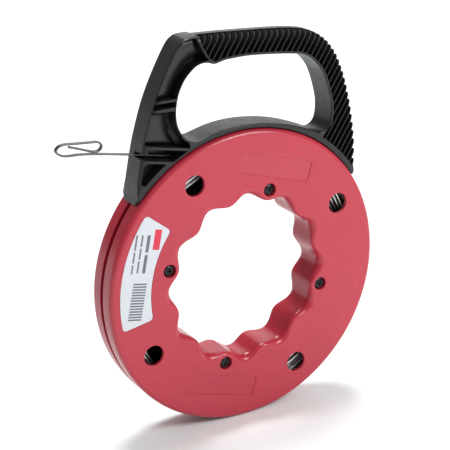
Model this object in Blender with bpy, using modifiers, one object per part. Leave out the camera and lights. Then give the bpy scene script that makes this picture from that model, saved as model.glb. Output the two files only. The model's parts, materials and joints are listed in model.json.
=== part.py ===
"""Steel fish tape on a hand reel.

Two moulded case halves are screwed together round a scalloped finger opening.  The handle
rides round the rim: its runner is trapped in the groove between the halves.  The steel tape
is wound loose inside the case and leaves through a slit in the handle, ending in a hook.

The reel turns about Y, its face looks along -Y and Z is up.  The origin is on the floor,
under the middle of the whole object's box.  Shapes are drawn about the reel's centre, as
u along X, y through the thickness and w up.
"""
import math

import bmesh
import bpy
from mathutils import Matrix

MM = 0.001
FLAT_ANGLE = math.radians(0.05)
OBJECT_NAME = "fish_tape_reel"

# Case, about the reel's centre
REEL_RADIUS = 120.0
REEL_HALF_THICKNESS = 15.7
WALL = 2.6
RIM_CORNER = 4.0
GROOVE_HALF_WIDTH = 2.0
JOINT_GAP = 0.3
TURN_STEPS = 72

# Scalloped finger opening
BORE_RADIUS = 65.25
SCALLOP_DEPTH = 2.35
SCALLOP_COUNT = 12
BORE_ROUND_WIDTH = 4.6
BORE_ROUND_DEPTH = 5.5
SCALLOP_FADE_START = 69.5
SCALLOP_FADE_END = 75.5

# Screws, windows, recessed panels and label
SCREW_COUNT = 4
SCREW_CIRCLE = 72.0
SCREW_ANGLE = 74.0
BOSS_RADIUS = 6.9
BOSS_GAP = 0.2
COUNTERBORE_RADIUS = 5.4
COUNTERBORE_DEPTH = 3.2
CLEARANCE_RADIUS = 2.2
PILOT_RADIUS = 2.0
PILOT_DEPTH = 11.0
HEAD_RADIUS = 4.6
HEAD_HEIGHT = 2.4
SHANK_RADIUS = 1.65
SCREW_END = 9.0
DRIVE_LENGTH = 5.2
DRIVE_WIDTH = 1.0
DRIVE_DEPTH = 1.5
WINDOW_CIRCLE = 96.4
WINDOW_ANGLE = 29.1
WINDOW_RADIUS = 8.3
PANEL_LENGTH = 66.0
PANEL_HEIGHT = 17.0
PANEL_CIRCLE = 90.5
PANEL_DEPTH = 0.5
LABEL_INNER = 85.8
LABEL_OUTER = 112.0
LABEL_START = 142.2
LABEL_END = 191.1
LABEL_RECESS = 0.45
LABEL_THICKNESS = 0.15

# Wound tape: 24 turns packed as one ring, clear of the tape's straight end
COIL_INNER = 98.5
COIL_OUTER = 110.0
COIL_NEAR = 2.3
COIL_FAR = 12.3
COIL_STEPS = 48
ANCHOR_CIRCLE = 86.0
ANCHOR_ANGLE = 254.0
ANCHOR_RADIUS = 3.0

# Tape: a strip in the middle plane, leaving along a straight line past the reel's centre
TAPE_WIDTH = 3.2
TAPE_THICKNESS = 1.5
TAPE_LINE_OFFSET = 93.2
TAPE_RISE_ANGLE = 10.75
TAPE_INNER_END = 10.0

# Handle
HANDLE_HALF_WIDTH = 12.5
HANDLE_SEAT_RADIUS = 120.6
HANDLE_FIRST_ANGLE = 33.8
HANDLE_LAST_ANGLE = 141.6
WEB_HALF_WIDTH = 1.5
RUNNER_WEB_HALF_WIDTH = 1.6
RUNNER_FLANGE_HALF_WIDTH = 5.0
RUNNER_INNER = 113.6
RUNNER_OUTER = 116.2
RUNNER_FIRST_ANGLE = 37.0
RUNNER_LAST_ANGLE = 138.0
RIB_PITCH = 5.4
RIB_ANGLE = 57.6
RIB_THICKNESS = 1.2
RIB_START = (3.8, 187.0)
RIB_FIRST = -8
RIB_LAST = 32
POCKET_FLOOR = 6.5
CHANNEL_BELOW = 1.6
CHANNEL_ABOVE = 6.8
SLIT_ABOVE = 2.4
CHANNEL_DEPTH = 2.3

HANDLE_OUTSIDE = [
    (102.6, 69.5), (103.4, 79.0), (102.9, 97.0), (99.7, 118.5), (95.3, 137.5),
    (89.7, 155.0), (81.9, 170.8), (72.2, 182.0), (60.5, 188.6), (44.5, 192.0),
    (17.0, 194.2), (-26.0, 196.2), (-46.5, 196.4), (-53.2, 194.3), (-58.6, 188.2),
    (-69.3, 168.8), (-78.1, 149.1), (-85.0, 127.1), (-88.6, 112.2), (-92.2, 93.1),
    (-93.6, 80.0),
]
HAND_OPENING = [
    (-33.4, 176.1), (-26.9, 174.4), (-20.3, 175.9), (-12.6, 176.7), (4.0, 177.0),
    (27.0, 175.3), (44.0, 173.3), (51.0, 171.9), (58.0, 168.3), (65.0, 161.7),
    (70.3, 154.0), (75.3, 140.5), (78.3, 127.5), (77.8, 115.5), (74.5, 109.6),
    (68.5, 107.4), (60.5, 110.6), (42.2, 117.2), (24.0, 121.6), (4.0, 123.8),
    (-13.0, 123.4), (-26.0, 121.3), (-40.0, 117.4), (-47.5, 118.0), (-53.2, 121.8),
    (-57.4, 128.0), (-59.6, 134.0), (-60.3, 142.0), (-59.5, 149.6), (-57.7, 156.4),
    (-54.6, 163.0), (-50.6, 168.4), (-44.2, 174.0), (-38.6, 176.2),
]
UPPER_POCKET = [
    (-74.4, 152.4), (-70.6, 161.6), (-64.8, 173.6), (-59.0, 184.0), (-54.6, 191.4),
    (-51.4, 193.2), (-46.5, 194.8), (-42.2, 194.8), (-40.8, 192.0), (-36.5, 184.4),
    (-33.6, 180.0), (-33.2, 177.2), (-39.2, 177.2), (-49.6, 170.4), (-56.6, 158.7),
    (-59.8, 152.4),
]
RIB_GAP_POCKET = [
    (-76.9, 145.9), (-75.2, 150.6), (-60.9, 150.6), (-61.7, 145.9),
]
LOWER_POCKET = [
    (-77.8, 144.1), (-79.5, 138.5), (-82.3, 129.5), (-84.4, 120.4), (-55.3, 115.1),
    (-54.3, 118.6), (-56.3, 122.0), (-60.3, 130.0), (-61.5, 137.0), (-61.9, 144.1),
]
FOOT_POCKET = [
    (-87.6, 107.1), (-72.6, 104.4), (-74.0, 102.0), (-88.9, 91.0),
]
RIB_ZONE = [
    (-40.6, 198.6), (-37.4, 189.5), (-33.6, 183.4), (-29.0, 178.9), (-18.0, 179.2),
    (4.0, 179.0), (27.0, 177.6), (45.0, 175.5), (54.0, 173.0), (61.5, 168.4),
    (68.5, 161.0), (73.3, 152.6), (77.6, 141.0), (80.6, 128.0), (80.4, 115.5),
    (77.2, 110.6), (71.4, 104.2), (77.1, 97.9), (84.9, 91.6), (91.9, 85.4),
    (98.3, 78.6), (104.6, 78.6), (104.1, 97.1), (100.9, 118.8), (96.5, 137.9),
    (90.8, 155.6), (82.8, 171.9), (72.9, 183.6), (60.9, 190.8), (44.7, 194.3),
    (17.0, 196.6), (-26.0, 198.6),
]
HOOK_ROUTE = [
    (-110.0, 115.5), (-119.1, 117.0), (-127.0, 118.2), (-135.0, 119.1), (-142.0, 119.3),
    (-147.4, 120.2), (-151.2, 122.4), (-152.3, 124.9), (-150.0, 127.4), (-145.3, 128.4),
    (-136.0, 127.6), (-126.5, 126.9), (-120.0, 126.4), (-117.3, 125.0), (-116.2, 122.8),
]
HOOK_TAIL = [
    (-117.6, 120.3), (-121.0, 119.3), (-125.5, 120.3), (-132.5, 122.8), (-137.7, 124.6),
    (-142.2, 126.0),
]

# The whole object's reach decides where its middle is
HOOK_REACH = 153.1
AXIS_X = (HOOK_REACH - REEL_RADIUS) / 2.0 * MM
AXIS_Z = REEL_RADIUS * MM


def clear_scene():
    """Remove every object already in the scene."""
    for old in list(bpy.data.objects):
        bpy.data.objects.remove(old, do_unlink=True)


def new_collection(name):
    """Make a collection under the scene."""
    group = bpy.data.collections.new(name)
    bpy.context.scene.collection.children.link(group)
    return group


def new_material(name, colour, roughness, metallic):
    """Make a Principled BSDF material."""
    material = bpy.data.materials.new(name)
    material.use_nodes = True
    shader = material.node_tree.nodes["Principled BSDF"]
    shader.inputs["Base Color"].default_value = (*colour, 1.0)
    shader.inputs["Roughness"].default_value = roughness
    shader.inputs["Metallic"].default_value = metallic
    return material


def new_empty(name, group, location):
    """Make an empty that stands on a joint's axis."""
    empty = bpy.data.objects.new(name, None)
    empty.location = location
    group.objects.link(empty)
    return empty


def new_part(name, mesh, group, parent, material):
    """Make an object about the reel's centre, riding on its joint's empty."""
    part = bpy.data.objects.new(name, mesh)
    part.parent = parent
    part.location = (AXIS_X - parent.location.x, 0.0, AXIS_Z - parent.location.z)
    group.objects.link(part)
    if material is not None:
        part.data.materials.clear()
        part.data.materials.append(material)
    return part


def new_cutter(name, mesh, group):
    """Make an object that only shapes others."""
    cutter = bpy.data.objects.new(name, mesh)
    cutter.location = (AXIS_X, 0.0, AXIS_Z)
    cutter.hide_render = True
    cutter.display_type = "WIRE"
    group.objects.link(cutter)
    return cutter


def shape(target, cutter, operation):
    """Cut, join or intersect a solid with another."""
    modifier = target.modifiers.new(cutter.name, "BOOLEAN")
    modifier.operation = operation
    modifier.solver = "EXACT"
    modifier.object = cutter


def evaluated_mesh(source):
    """Return a copy of an object's finished mesh, and remove the object."""
    graph = bpy.context.evaluated_depsgraph_get()
    mesh = bpy.data.meshes.new_from_object(source.evaluated_get(graph))
    mesh.transform(source.matrix_basis)
    bpy.data.objects.remove(source, do_unlink=True)
    return mesh


def close_mesh(mesh):
    """Weld a mesh's seams, merge its flat faces and point them out."""
    work = bmesh.new()
    work.from_mesh(mesh)
    bmesh.ops.remove_doubles(work, verts=work.verts, dist=0.002 * MM)
    bmesh.ops.dissolve_limit(
        work, angle_limit=FLAT_ANGLE, verts=work.verts, edges=work.edges)
    bmesh.ops.recalc_face_normals(work, faces=work.faces)
    work.to_mesh(mesh)
    work.free()
    return mesh


def shade_round(mesh):
    """Shade a round piece smooth, with its true edges sharp."""
    mesh.shade_smooth()
    mesh.set_sharp_from_angle(angle=math.radians(35.0))
    return mesh


def polar(radius, angle):
    """Point on a circle about the reel's centre, in millimetres and degrees."""
    return radius * math.cos(math.radians(angle)), radius * math.sin(math.radians(angle))


def arc(radius, first, last, steps):
    """Points along an arc about the reel's centre."""
    return [polar(radius, first + (last - first) * i / steps) for i in range(steps + 1)]


def sector(inner, outer, first, last, steps):
    """Outline of a piece of a ring."""
    return arc(outer, first, last, steps) + arc(inner, last, first, steps)


def around(radius, first, count):
    """Evenly spaced points on a circle."""
    return [polar(radius, first + 360.0 * i / count) for i in range(count)]


def smooth_line(points, steps, closed):
    """Curve through the points, by Catmull-Rom."""
    count = len(points)
    line = []
    for i in range(count if closed else count - 1):
        if closed:
            four = [points[(i + k) % count] for k in (-1, 0, 1, 2)]
        else:
            four = [points[min(max(i + k, 0), count - 1)] for k in (-1, 0, 1, 2)]
        for step in range(steps):
            t = step / steps
            line.append(tuple(
                0.5 * (2 * b + (c - a) * t + (2 * a - 5 * b + 4 * c - d) * t ** 2
                       + (3 * b - a - 3 * c + d) * t ** 3)
                for a, b, c, d in zip(*four)))
    if not closed:
        line.append(points[-1])
    return line


def tape_point(along, above):
    """Point beside the tape's straight line: along it towards the hook, and above it."""
    rise = math.radians(TAPE_RISE_ANGLE)
    offset = TAPE_LINE_OFFSET + above
    u = offset * math.sin(rise) - along * math.cos(rise)
    w = offset * math.cos(rise) + along * math.sin(rise)
    return u, w


def prism(outlines, near, far):
    """Flat outline, with any holes, extruded from y = near to y = far."""
    curve = bpy.data.curves.new("outline", "CURVE")
    curve.dimensions = "2D"
    curve.fill_mode = "BOTH"
    curve.extrude = (far - near) / 2.0 * MM
    for outline in outlines:
        spline = curve.splines.new("POLY")
        spline.points.add(len(outline) - 1)
        spline.use_cyclic_u = True
        for point, (u, w) in zip(spline.points, outline):
            point.co = (u * MM, w * MM, 0.0, 1.0)
    flat = bpy.data.objects.new("outline", curve)
    flat.rotation_euler = (math.pi / 2.0, 0.0, 0.0)
    flat.location = (0.0, (near + far) / 2.0 * MM, 0.0)
    bpy.context.scene.collection.objects.link(flat)
    bpy.context.view_layer.update()
    return close_mesh(evaluated_mesh(flat))


def turned(profile, steps, closed):
    """Profile of (radius, y) points turned about the reel's axis."""
    mesh = bpy.data.meshes.new("profile")
    count = len(profile)
    edges = [(i, (i + 1) % count) for i in range(count if closed else count - 1)]
    mesh.from_pydata([(r * MM, 0.0, y * MM) for r, y in profile], edges, [])
    body = bpy.data.objects.new("profile", mesh)
    body.rotation_euler = (-math.pi / 2.0, 0.0, 0.0)
    screw = body.modifiers.new("turn", "SCREW")
    screw.steps = steps
    screw.render_steps = steps
    screw.use_merge_vertices = True
    screw.merge_threshold = 0.001 * MM
    bpy.context.scene.collection.objects.link(body)
    bpy.context.view_layer.update()
    return close_mesh(evaluated_mesh(body))


def swept(profile, first, last, steps):
    """Solid swept from one angle to another by a (radius, y) section."""
    work = bmesh.new()
    start_u, start_w = polar(1.0, first)
    corners = [work.verts.new((r * start_u * MM, y * MM, r * start_w * MM)) for r, y in profile]
    section = work.faces.new(corners)
    bmesh.ops.spin(
        work, geom=[section], axis=(0.0, -1.0, 0.0), cent=(0.0, 0.0, 0.0),
        angle=math.radians(last - first), steps=steps, use_duplicate=False)
    mesh = bpy.data.meshes.new("swept")
    work.to_mesh(mesh)
    work.free()
    return close_mesh(mesh)


def cylinders(centres, radius, near, far, steps):
    """Several separate round pins along Y, in one mesh."""
    work = bmesh.new()
    for u, w in centres:
        middle = Matrix.Translation((u * MM, (near + far) / 2.0 * MM, w * MM))
        bmesh.ops.create_cone(
            work, cap_ends=True, segments=steps, radius1=radius * MM, radius2=radius * MM,
            depth=(far - near) * MM, matrix=middle @ Matrix.Rotation(math.pi / 2.0, 4, "X"))
    mesh = bpy.data.meshes.new("pins")
    work.to_mesh(mesh)
    work.free()
    return mesh


def blocks(places, length, height, near, far):
    """Several separate boxes, each at (u, w, angle), in one mesh."""
    work = bmesh.new()
    for u, w, angle in places:
        size = Matrix.Diagonal((length * MM, (far - near) * MM, height * MM, 1.0))
        turn = Matrix.Rotation(-math.radians(angle), 4, "Y")
        move = Matrix.Translation((u * MM, (near + far) / 2.0 * MM, w * MM))
        bmesh.ops.create_cube(work, size=1.0, matrix=move @ turn @ size)
    mesh = bpy.data.meshes.new("blocks")
    work.to_mesh(mesh)
    work.free()
    return mesh


def scallop(mesh):
    """Push the bore wall in and out in finger grips, a crest at every screw."""
    for vertex in mesh.vertices:
        radius = math.hypot(vertex.co.x, vertex.co.z)
        angle = math.atan2(vertex.co.z, vertex.co.x)
        fade = (SCALLOP_FADE_END * MM - radius) / ((SCALLOP_FADE_END - SCALLOP_FADE_START) * MM)
        fade = min(max(fade, 0.0), 1.0)
        wave = math.cos(SCALLOP_COUNT * (angle - math.radians(SCREW_ANGLE)))
        scale = 1.0 - SCALLOP_DEPTH * MM * wave * fade / radius
        vertex.co.x *= scale
        vertex.co.z *= scale
    return mesh


def case_profile(side):
    """Closed section of one case half; side is -1 in front and +1 behind."""
    face = REEL_HALF_THICKNESS
    inside = face - WALL
    profile = [(BORE_RADIUS, JOINT_GAP / 2.0)]
    for i in range(4):
        turn = math.radians(90.0 * i / 3)
        profile.append((BORE_RADIUS + BORE_ROUND_WIDTH * (1.0 - math.cos(turn)),
                        face - BORE_ROUND_DEPTH * (1.0 - math.sin(turn))))
    for i in range(3):
        turn = math.radians(90.0 * i / 2)
        profile.append((REEL_RADIUS - RIM_CORNER * (1.0 - math.sin(turn)),
                        face - RIM_CORNER * (1.0 - math.cos(turn))))
    profile.append((REEL_RADIUS, GROOVE_HALF_WIDTH))
    profile.append((REEL_RADIUS - WALL, GROOVE_HALF_WIDTH))
    profile.append((REEL_RADIUS - WALL, inside - 1.6))
    profile.append((REEL_RADIUS - WALL - 1.6, inside))
    profile.append((BORE_RADIUS + BORE_ROUND_WIDTH, inside))
    profile.append((BORE_RADIUS + WALL + 0.8, inside - BORE_ROUND_DEPTH * 0.45))
    profile.append((BORE_RADIUS + WALL, JOINT_GAP / 2.0))
    return [(r, side * y) for r, y in profile]


def case_half(name, side, parts, cutters, parent, material):
    """Ring shell with screw bosses, windows and a scalloped bore."""
    half = new_part(name, scallop(turned(case_profile(side), TURN_STEPS, True)),
                    parts, parent, material)
    screws = around(SCREW_CIRCLE, SCREW_ANGLE, SCREW_COUNT)
    ends = sorted((side * (JOINT_GAP / 2.0 + BOSS_GAP), side * (REEL_HALF_THICKNESS - 1.0)))
    bosses = new_cutter(name + "_bosses", cylinders(screws, BOSS_RADIUS, *ends, 20), cutters)
    shape(half, bosses, "UNION")
    ends = sorted((side * (REEL_HALF_THICKNESS + 1.0), side * (REEL_HALF_THICKNESS - 2.0 * WALL)))
    windows = around(WINDOW_CIRCLE, WINDOW_ANGLE, SCREW_COUNT)
    holes = new_cutter(name + "_windows", cylinders(windows, WINDOW_RADIUS, *ends, 28), cutters)
    shape(half, holes, "DIFFERENCE")
    return half


def front_shell(parts, cutters, parent, material):
    """Front half: counterbored for the screws, with a label recess and two plain panels."""
    half = case_half("front_shell", -1, parts, cutters, parent, material)
    face = -REEL_HALF_THICKNESS
    screws = around(SCREW_CIRCLE, SCREW_ANGLE, SCREW_COUNT)
    seats = cylinders(screws, COUNTERBORE_RADIUS, face - 1.0, face + COUNTERBORE_DEPTH, 20)
    shape(half, new_cutter("screw_seats", seats, cutters), "DIFFERENCE")
    holes = cylinders(screws, CLEARANCE_RADIUS, face, 1.0, 12)
    shape(half, new_cutter("screw_clearance", holes, cutters), "DIFFERENCE")
    recess = prism([sector(LABEL_INNER - JOINT_GAP, LABEL_OUTER + JOINT_GAP,
                           LABEL_START - 0.3, LABEL_END + 0.3, 14)],
                   face - 1.0, face + LABEL_RECESS)
    shape(half, new_cutter("label_recess", recess, cutters), "DIFFERENCE")
    places = [(*polar(PANEL_CIRCLE, angle), angle - 90.0)
              for angle in (SCREW_ANGLE, SCREW_ANGLE + 180.0)]
    panels = blocks(places, PANEL_LENGTH, PANEL_HEIGHT, face - 1.0, face + PANEL_DEPTH)
    shape(half, new_cutter("plain_panels", panels, cutters), "DIFFERENCE")
    return half


def rear_shell(parts, cutters, parent, material):
    """Rear half: blind screw bosses and the post that anchors the tape's inner end."""
    half = case_half("rear_shell", 1, parts, cutters, parent, material)
    post = cylinders([polar(ANCHOR_CIRCLE, ANCHOR_ANGLE)], ANCHOR_RADIUS,
                     -REEL_HALF_THICKNESS + WALL + 1.0, REEL_HALF_THICKNESS - 1.0, 16)
    shape(half, new_cutter("tape_anchor_post", post, cutters), "UNION")
    screws = around(SCREW_CIRCLE, SCREW_ANGLE, SCREW_COUNT)
    holes = cylinders(screws, PILOT_RADIUS, -1.0, PILOT_DEPTH, 12)
    shape(half, new_cutter("screw_pilots", holes, cutters), "DIFFERENCE")
    return half


def screw_mesh(cutters):
    """Pan head screw with a cross recess, its head towards -Y."""
    top = -REEL_HALF_THICKNESS + COUNTERBORE_DEPTH - JOINT_GAP - HEAD_HEIGHT
    under = top + HEAD_HEIGHT
    profile = [
        (0.0, top), (HEAD_RADIUS * 0.6, top + 0.15), (HEAD_RADIUS * 0.9, top + 0.8),
        (HEAD_RADIUS, top + 1.5), (HEAD_RADIUS, under), (SHANK_RADIUS, under),
        (SHANK_RADIUS, SCREW_END - 2.5), (0.0, SCREW_END),
    ]
    body = bpy.data.objects.new("screw_blank", turned(profile, 14, False))
    bpy.context.scene.collection.objects.link(body)
    for name, angle in (("drive_slot_a", 20.0), ("drive_slot_b", 110.0)):
        slot = blocks([(0.0, 0.0, angle)], DRIVE_LENGTH, DRIVE_WIDTH, top - 1.0, top + DRIVE_DEPTH)
        cutter = new_cutter(name, slot, cutters)
        cutter.location = (0.0, 0.0, 0.0)
        shape(body, cutter, "DIFFERENCE")
    bpy.context.view_layer.update()
    return close_mesh(evaluated_mesh(body))


def case_screws(parts, cutters, parent, material):
    """Four screws that share one mesh."""
    mesh = shade_round(screw_mesh(cutters))
    for number, (u, w) in enumerate(around(SCREW_CIRCLE, SCREW_ANGLE, SCREW_COUNT), 1):
        screw = new_part("case_screw_%d" % number, mesh, parts, parent, material)
        screw.location.x += u * MM
        screw.location.z += w * MM


def label(parts, parent, material):
    """Thin printed plate in the front half's recess."""
    outline = sector(LABEL_INNER, LABEL_OUTER, LABEL_START, LABEL_END, 14)
    face = -REEL_HALF_THICKNESS
    mesh = prism([outline], face, face + LABEL_THICKNESS)
    return new_part("label", mesh, parts, parent, material)


def tape_coil(parts, parent, material):
    """Ring that holds the wound turns of tape."""
    profile = [(COIL_INNER, COIL_FAR), (COIL_OUTER, COIL_FAR),
               (COIL_OUTER, COIL_NEAR), (COIL_INNER, COIL_NEAR)]
    mesh = shade_round(turned(profile, COIL_STEPS, True))
    return new_part("tape_coil", mesh, parts, parent, material)


def strip(route):
    """Outline of a strip of the tape's thickness that follows a route."""
    left = []
    right = []
    for i, (u, w) in enumerate(route):
        before = route[max(i - 1, 0)]
        after = route[min(i + 1, len(route) - 1)]
        length = math.hypot(after[0] - before[0], after[1] - before[1])
        side_u = -(after[1] - before[1]) / length * TAPE_THICKNESS / 2.0
        side_w = (after[0] - before[0]) / length * TAPE_THICKNESS / 2.0
        left.append((u + side_u, w + side_w))
        right.append((u - side_u, w - side_w))
    return left + right[::-1]


def tape_end(parts, cutters, parent, material):
    """Straight leading end of the tape, bent back into a hook that crosses over itself."""
    straight = [tape_point(TAPE_INNER_END, 0.0), tape_point(70.0, 0.0), tape_point(110.0, 0.0)]
    bend = smooth_line(HOOK_ROUTE, 3, False)
    half = TAPE_WIDTH / 2.0
    body = prism([strip(straight + bend)], -half, half)
    end = new_part("tape_end", body, parts, parent, material)
    tail = prism([strip([bend[-2]] + smooth_line(HOOK_TAIL, 2, False))], -half + 0.1, half - 0.1)
    shape(end, new_cutter("hook_tail", tail, cutters), "UNION")
    return end


def handle(parts, cutters, parent, material):
    """One-piece handle: a thin web walled and ribbed on both sides, on a trapped runner."""
    outside = smooth_line(HANDLE_OUTSIDE, 2, False)
    outside += arc(HANDLE_SEAT_RADIUS, HANDLE_LAST_ANGLE, HANDLE_FIRST_ANGLE, 36)
    opening = smooth_line(HAND_OPENING, 2, True)
    half = HANDLE_HALF_WIDTH
    body = new_part("handle", prism([outside, opening], -half, half), parts, parent, material)

    web = RUNNER_WEB_HALF_WIDTH
    flange = RUNNER_FLANGE_HALF_WIDTH
    section = [
        (HANDLE_SEAT_RADIUS + 0.8, -web), (HANDLE_SEAT_RADIUS + 0.8, web),
        (RUNNER_OUTER, web), (RUNNER_OUTER, flange), (RUNNER_INNER, flange),
        (RUNNER_INNER, -flange), (RUNNER_OUTER, -flange), (RUNNER_OUTER, -web),
    ]
    runner = swept(section, RUNNER_FIRST_ANGLE, RUNNER_LAST_ANGLE, 28)
    shape(body, new_cutter("runner", runner, cutters), "UNION")

    for name, side in (("front", -1), ("rear", 1)):
        for pocket, outline, floor in (
                ("upper_pocket", UPPER_POCKET, POCKET_FLOOR),
                ("rib_gap", RIB_GAP_POCKET, WEB_HALF_WIDTH),
                ("lower_pocket", LOWER_POCKET, POCKET_FLOOR),
                ("foot_pocket", FOOT_POCKET, WEB_HALF_WIDTH)):
            ends = sorted((side * floor, side * (half + 1.0)))
            cutter = new_cutter("%s_%s" % (name, pocket), prism([outline], *ends), cutters)
            shape(body, cutter, "DIFFERENCE")
        ends = sorted((side * WEB_HALF_WIDTH, side * (half + 1.0)))
        slots = new_cutter(name + "_slots", prism([RIB_ZONE], *ends), cutters)
        ribs = new_cutter(name + "_ribs", rib_blocks(side), cutters)
        shape(slots, ribs, "DIFFERENCE")
        shape(body, slots, "DIFFERENCE")

    channel = [tape_point(*corner) for corner in (
        (81.6, -CHANNEL_BELOW), (103.5, -CHANNEL_BELOW),
        (103.5, CHANNEL_ABOVE), (70.6, CHANNEL_ABOVE))]
    slit = [tape_point(*corner) for corner in (
        (58.0, -CHANNEL_BELOW), (116.0, -CHANNEL_BELOW),
        (116.0, SLIT_ABOVE), (58.0, SLIT_ABOVE))]
    for name, outline in (("tape_channel", channel), ("tape_slit", slit)):
        cutter = new_cutter(name, prism([outline], -half - 1.0, CHANNEL_DEPTH), cutters)
        shape(body, cutter, "DIFFERENCE")
    return body


def rib_blocks(side):
    """Slanting ribs, left standing when the slots are cut."""
    places = []
    for number in range(RIB_FIRST, RIB_LAST + 1):
        places.append((RIB_START[0] + number * RIB_PITCH, RIB_START[1], RIB_ANGLE))
    ends = sorted((side * (WEB_HALF_WIDTH - 1.0), side * (HANDLE_HALF_WIDTH + 2.0)))
    return blocks(places, 400.0, RIB_THICKNESS, *ends)


def main():
    """Build the whole object."""
    clear_scene()
    parts = new_collection(OBJECT_NAME)
    cutters = new_collection("cutters")
    reel_axis = new_empty("reel_axis", parts, (AXIS_X, 0.0, AXIS_Z))
    mouth_u, mouth_w = tape_point(100.0, 0.0)
    tape_axis = new_empty("tape_axis", parts,
                          (AXIS_X + mouth_u * MM, 0.0, AXIS_Z + mouth_w * MM))

    red = new_material("red_plastic", (0.56, 0.06, 0.09), 0.42, 0.0)
    red_rear = new_material("red_plastic_rear", (0.56, 0.06, 0.09), 0.42, 0.0)
    black = new_material("black_plastic", (0.035, 0.032, 0.034), 0.5, 0.0)
    screw_steel = new_material("blackened_steel", (0.03, 0.03, 0.032), 0.4, 1.0)
    tape_steel = new_material("tape_steel", (0.42, 0.41, 0.40), 0.35, 1.0)
    hook_steel = new_material("hook_steel", (0.20, 0.19, 0.18), 0.4, 1.0)
    paper = new_material("label_film", (0.78, 0.80, 0.82), 0.5, 0.0)

    handle(parts, cutters, reel_axis, black)
    front_shell(parts, cutters, reel_axis, red)
    rear_shell(parts, cutters, reel_axis, red_rear)
    case_screws(parts, cutters, reel_axis, screw_steel)
    label(parts, reel_axis, paper)
    tape_coil(parts, reel_axis, tape_steel)
    tape_end(parts, cutters, tape_axis, hook_steel)


main()
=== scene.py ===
"""Looks of the fish tape reel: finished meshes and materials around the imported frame.

Shapes are drawn in millimetres and degrees about the reel's centre, as u along X, y
through the thickness and w up.  Each finished mesh is then scaled to metres and moved to
the reel's axis, which the frame's own joint gives.
"""
import json
import math
import random

import bmesh
import bpy
import numpy as np
from mathutils import Matrix, Vector, geometry


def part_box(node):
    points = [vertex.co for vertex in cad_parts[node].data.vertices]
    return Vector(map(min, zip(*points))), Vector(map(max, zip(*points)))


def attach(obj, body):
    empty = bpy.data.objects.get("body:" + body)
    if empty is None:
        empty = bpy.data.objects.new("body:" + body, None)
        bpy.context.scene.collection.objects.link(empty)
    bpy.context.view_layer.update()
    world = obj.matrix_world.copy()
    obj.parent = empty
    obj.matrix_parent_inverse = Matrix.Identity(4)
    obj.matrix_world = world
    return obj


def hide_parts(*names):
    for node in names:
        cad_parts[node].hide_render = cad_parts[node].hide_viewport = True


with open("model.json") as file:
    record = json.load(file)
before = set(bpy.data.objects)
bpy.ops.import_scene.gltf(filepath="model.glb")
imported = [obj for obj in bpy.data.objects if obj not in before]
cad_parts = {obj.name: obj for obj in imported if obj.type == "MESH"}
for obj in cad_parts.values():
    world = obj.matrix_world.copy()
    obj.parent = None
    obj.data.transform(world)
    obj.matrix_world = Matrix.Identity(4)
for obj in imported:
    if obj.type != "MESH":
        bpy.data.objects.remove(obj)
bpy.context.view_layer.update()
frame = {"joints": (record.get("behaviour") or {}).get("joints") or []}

MM = 0.001
JOINTS = {joint["name"]: joint for joint in frame["joints"]}
AXIS = Vector(JOINTS["reel_spin"]["pos_m"])
SHELL_LOW, SHELL_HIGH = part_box("front_shell")

# Case
REEL_RADIUS = (SHELL_HIGH[0] - SHELL_LOW[0]) / 2.0 / MM
HALF_THICKNESS = -SHELL_LOW[1] / MM
WALL = 2.6
WALL_CHAMFER = 1.6
RIM_CORNER = 4.0
GROOVE_HALF_WIDTH = 2.0
GROOVE_LIP = 0.6
PARTING_HALF_WIDTH = 0.04
PARTING_CHAMFER = 0.08
SOLID_RADIUS = 79.5
FACE_RADII = (88.0, 96.0, 104.0, 111.0)
TURN_STEPS = 360
SCALLOP_COUNT = 12
BORE_RADIUS = 65.25
SCALLOP_DEPTH = 2.35
BORE_ROUND_WIDTH = 4.6
BORE_ROUND_WIDTH_SWING = 2.2
BORE_ROUND_DEPTH = 5.5
BORE_ROUND_DEPTH_SWING = 2.0

# Windows and panels
WINDOW_CIRCLE = 96.4
WINDOW_ANGLE = 29.1
WINDOW_RADIUS = 8.3
WINDOW_DEPTH = 5.5
WINDOW_LIP = 0.6
HOLE_STEPS = 48
PANEL_CIRCLE = 90.5
PANEL_LENGTH = 66.0
PANEL_HEIGHT = 17.0
PANEL_CORNER = 1.2
PANEL_DEPTH = 0.5
RECESS_LIP = 0.22

# Screws: the head as (radius, depth below its top), the shank as (radius, y)
SCREW_CIRCLE = 72.0
SCREW_ANGLE = 74.0
SCREW_STEPS = 40
SEAT_RADIUS = 5.4
SEAT_DEPTH = 3.2
SEAT_LIP = 0.4
SCREW_SINK = 0.7
SCREW_HEAD = [
    (0.4, 0.0), (1.6, 0.06), (2.6, 0.28), (3.7, 0.7), (4.25, 1.2), (4.6, 1.8), (4.6, 2.3),
    (4.4, 2.45), (1.65, 2.45),
]
SCREW_SHANK = [(1.65, 8.0), (0.5, 9.0)]
# Cross recess: depth, half length and half width, above the head's top and at its floor
CROSS_LEVELS = ((-0.5, 3.0, 0.75), (1.6, 1.1, 0.34))
CROSS_ANGLE = 20.0
CROSS_ANGLE_STEP = 37.0

# Label
LABEL_INNER = 85.8
LABEL_OUTER = 112.0
LABEL_MIDDLE = 99.0
LABEL_START = 142.2
LABEL_END = 191.1
LABEL_CORNER = 3.6
LABEL_RECESS = 0.45
LABEL_MARGIN = 0.3
LABEL_GAP = 0.05
LABEL_FILM = 0.2
LABEL_TILT = 10.75
RED_PRINT = 1
GREY_PRINT = 2
# Print, in the label's own frame: down its length from and to, then its height from and to
RED_BLOCK = (-35.5, -19.5, 8.8, 14.6)
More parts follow.
